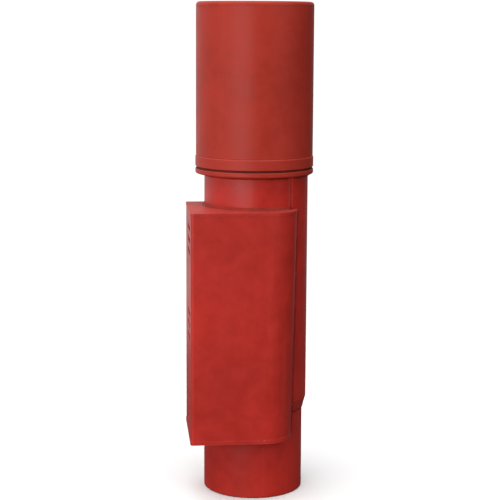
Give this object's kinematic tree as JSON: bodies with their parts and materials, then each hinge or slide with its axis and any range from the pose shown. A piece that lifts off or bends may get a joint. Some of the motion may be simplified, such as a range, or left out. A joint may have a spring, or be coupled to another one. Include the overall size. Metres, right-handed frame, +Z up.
{
  "type": "post driver",
  "caption": "Upright air-powered post driver: wide cylindrical head, narrower barrel open at the bottom, side muffler casing, rear mounting pad, sliding hammer, anvil and valve plate.",
  "frame": {"origin": "centre of the barrel's bottom rim, where the post enters", "axes": "+Z up along the barrel, -Y the front with the muffler casing, +X to the right"},
  "size_m": [0.161, 0.186, 0.625],
  "materials": {
    "red_paint": "satin",
    "black_rubber": "matt",
    "machined_steel": "ground",
    "spring_steel": "oiled",
    "bolt_steel": "zinc plated",
    "grey_iron": "machined",
    "bronze": "turned"
  },
  "bodies": {
    "driver_body": {"barrel_tube": "red_paint", "flange_ring": "red_paint", "head_gasket": "black_rubber", "head_collar": "red_paint", "head_shell": "red_paint", "head_top_plate": "red_paint", "head_clamp_ring": "red_paint", "air_inlet_boss": "red_paint", "inlet_strainer": "machined_steel", "mounting_saddle": "red_paint", "mounting_pad": "red_paint", "muffler_shell": "red_paint", "muffler_top_plate": "red_paint", "muffler_bottom_plate": "red_paint", "muffler_baffle_upper": "red_paint", "muffler_baffle_lower": "red_paint", "base_stop_ring": "red_paint", "cylinder_base": "grey_iron", "cylinder_liner": "machined_steel", "liner_base_seal": "black_rubber", "liner_gasket": "black_rubber", "lift_air_tube": "machined_steel", "valve_chest": "grey_iron", "valve_cover": "grey_iron", "valve_guide_pin": "machined_steel", "tie_bolts": "bolt_steel", "tie_bolt_washers": "bolt_steel", "anvil_bushing": "bronze", "anvil_buffer": "black_rubber", "anvil_retaining_ring": "spring_steel"},
    "anvil": {"anvil": "machined_steel"},
    "hammer": {"hammer": "machined_steel", "piston_rings": "spring_steel"},
    "valve_plate": {"valve_plate": "machined_steel"}
  },
  "joints": [
    {"name": "anvil_slide", "type": "slide", "parent": "driver_body", "child": "anvil", "axis": [0, 0, 1], "range_m": [0, 0.012]},
    {"name": "hammer_slide", "type": "slide", "parent": "anvil", "child": "hammer", "axis": [0, 0, 1], "range_m": [0, 0.081]},
    {"name": "valve_lift", "type": "slide", "parent": "driver_body", "child": "valve_plate", "axis": [0, 0, 1], "range_m": [0, 0.003]}
  ]
}
